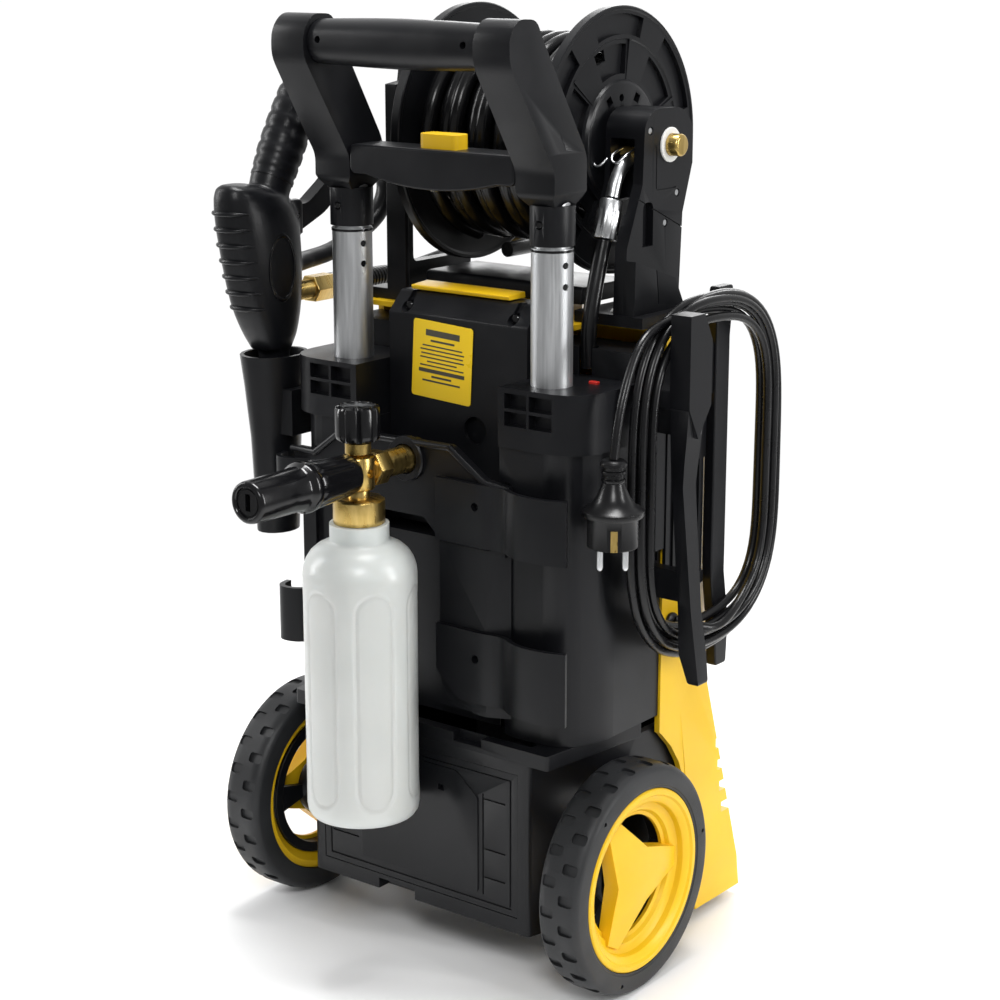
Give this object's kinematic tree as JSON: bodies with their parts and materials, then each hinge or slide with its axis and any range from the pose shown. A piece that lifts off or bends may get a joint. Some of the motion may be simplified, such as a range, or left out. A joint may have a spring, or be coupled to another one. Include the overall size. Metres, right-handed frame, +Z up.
{
  "type": "pressure washer",
  "caption": "Upright wheeled electric pressure washer with telescopic handle, hose reel, holstered spray gun, plug-in foam lance with bottle, and hooks with a wound mains cord.",
  "frame": {"origin": "centre of the footprint on the floor, under the middle of the machine without its free cords", "axes": "+Z up; the rear with the handle and the foam bottle faces -Y, so +X is to the right seen from the rear (the cord hook side)"},
  "size_m": [0.3948, 0.467, 0.754],
  "materials": {
    "housing_black": "finely textured moulded black plastic",
    "gloss_black": "glossy black plastic",
    "cover_yellow": "satin moulded yellow plastic",
    "tyre_rubber": "matte dark rubber-like plastic",
    "foot_rubber": "matte black rubber",
    "hose_black": "smooth semi-gloss black hose",
    "cord_black": "smooth satin black cable sheath",
    "tube_aluminium": "satin anodised aluminium",
    "brass": "machined brass",
    "steel": "zinc plated steel",
    "bottle_plastic": "translucent milky polyethylene",
    "label": "yellow printed label with plain bars",
    "motor_metal": "cast aluminium"
  },
  "bodies": {
    "root": {"base_frame": "housing_black", "lower_rear_cover": "housing_black", "axle": "steel", "foot_left": "foot_rubber", "foot_right": "foot_rubber", "rear_housing": "housing_black", "front_cover": "cover_yellow", "rear_cover": "housing_black", "accessory_bracket": "housing_black", "rating_label": "label", "outer_tube_left": "tube_aluminium", "outer_tube_right": "tube_aluminium", "reel_bracket_right": "housing_black", "reel_bracket_left": "housing_black", "swivel_cap": "brass", "bent_pipe": "steel", "pipe_ferrule": "steel", "feed_hose": "hose_black", "gun_body": "housing_black", "trigger_pin": "steel", "gun_holster": "housing_black", "gun_coupling": "brass", "gun_strain_relief": "gloss_black", "hose_tail": "hose_black", "cord_hook_rear": "housing_black", "cord_hook_front": "housing_black", "cord_gland": "housing_black", "mains_cord_coil": "cord_black", "mains_cord_tail": "cord_black", "plug_body": "cord_black", "plug_pins": "brass", "motor": "motor_metal", "pump": "motor_metal", "control_box": "housing_black", "water_inlet": "gloss_black"},
    "handle": {"inner_tube_left": "tube_aluminium", "inner_tube_right": "tube_aluminium", "handle_arm_left": "housing_black", "handle_arm_right": "housing_black", "grip_bar": "housing_black", "handle_crossbar": "housing_black", "release_spring": "steel"},
    "release_button": {"release_button": "cover_yellow"},
    "wheel_left": {"tyre_left": "tyre_rubber", "rim_left": "cover_yellow"},
    "wheel_right": {"tyre_right": "tyre_rubber", "rim_right": "cover_yellow"},
    "reel": {"reel_flange_right": "housing_black", "reel_flange_left": "housing_black", "reel_core": "housing_black", "reel_hose_coil": "hose_black", "crank_arm": "housing_black"},
    "crank_grip": {"crank_grip": "housing_black"},
    "gun_trigger": {"gun_trigger": "housing_black"},
    "trigger_lock": {"trigger_lock": "cover_yellow"},
    "lance": {"lance_body": "brass", "foam_bottle": "bottle_plastic"},
    "lance_knob": {"lance_knob": "gloss_black"},
    "lance_nozzle": {"lance_nozzle": "gloss_black"},
    "power_knob": {"power_knob": "housing_black"}
  },
  "joints": [
    {"name": "handle_slide", "type": "slide", "parent": "root", "child": "handle", "axis": [0, 0, 1], "range_m": [0, 0.18]},
    {"name": "release_button_press", "type": "slide", "parent": "handle", "child": "release_button", "axis": [0, 0, -1], "range_m": [0, 0.005], "stiffness_N_per_m": 1500, "springref_m": -0.003, "deforming": ["release_spring"]},
    {"name": "wheel_left_spin", "type": "hinge", "parent": "root", "child": "wheel_left", "pos_m": [-0.15894, -0.001, 0.093], "axis": [1, 0, 0], "continuous": true},
    {"name": "wheel_right_spin", "type": "hinge", "parent": "root", "child": "wheel_right", "pos_m": [0.17006, -0.001, 0.093], "axis": [1, 0, 0], "continuous": true},
    {"name": "reel_spin", "type": "hinge", "parent": "root", "child": "reel", "pos_m": [0.00556, 0.11, 0.65], "axis": [1, 0, 0], "continuous": true},
    {"name": "crank_grip_spin", "type": "hinge", "parent": "reel", "child": "crank_grip", "pos_m": [-0.13244, 0.11, 0.71], "axis": [1, 0, 0], "continuous": true},
    {"name": "trigger_squeeze", "type": "hinge", "parent": "root", "child": "gun_trigger", "pos_m": [-0.17244, -0.002, 0.584], "axis": [1, 0, 0], "range_deg": [0, 8], "stiffness_Nm_per_rad": 2, "springref_deg": -11.46},
    {"name": "trigger_lock_turn", "type": "hinge", "parent": "root", "child": "trigger_lock", "pos_m": [-0.17244, 0.045, 0.671], "axis": [1, 0, 0], "range_deg": [-35, 0]},
    {"name": "lance_pull", "type": "slide", "parent": "root", "child": "lance", "axis": [0, -1, 0], "range_m": [0, 0.025]},
    {"name": "lance_knob_turn", "type": "hinge", "parent": "lance", "child": "lance_knob", "pos_m": [-0.01044, -0.104, 0.45], "axis": [0, 0, 1], "range_deg": [0, 180]},
    {"name": "lance_nozzle_turn", "type": "hinge", "parent": "lance", "child": "lance_nozzle", "pos_m": [-0.01044, -0.168, 0.411], "axis": [0, 1, 0], "range_deg": [0, 90]},
    {"name": "power_knob_turn", "type": "hinge", "parent": "root", "child": "power_knob", "pos_m": [0.00556, 0.173, 0.41], "axis": [0, 0.9899, 0.1414], "range_deg": [0, 90]}
  ]
}
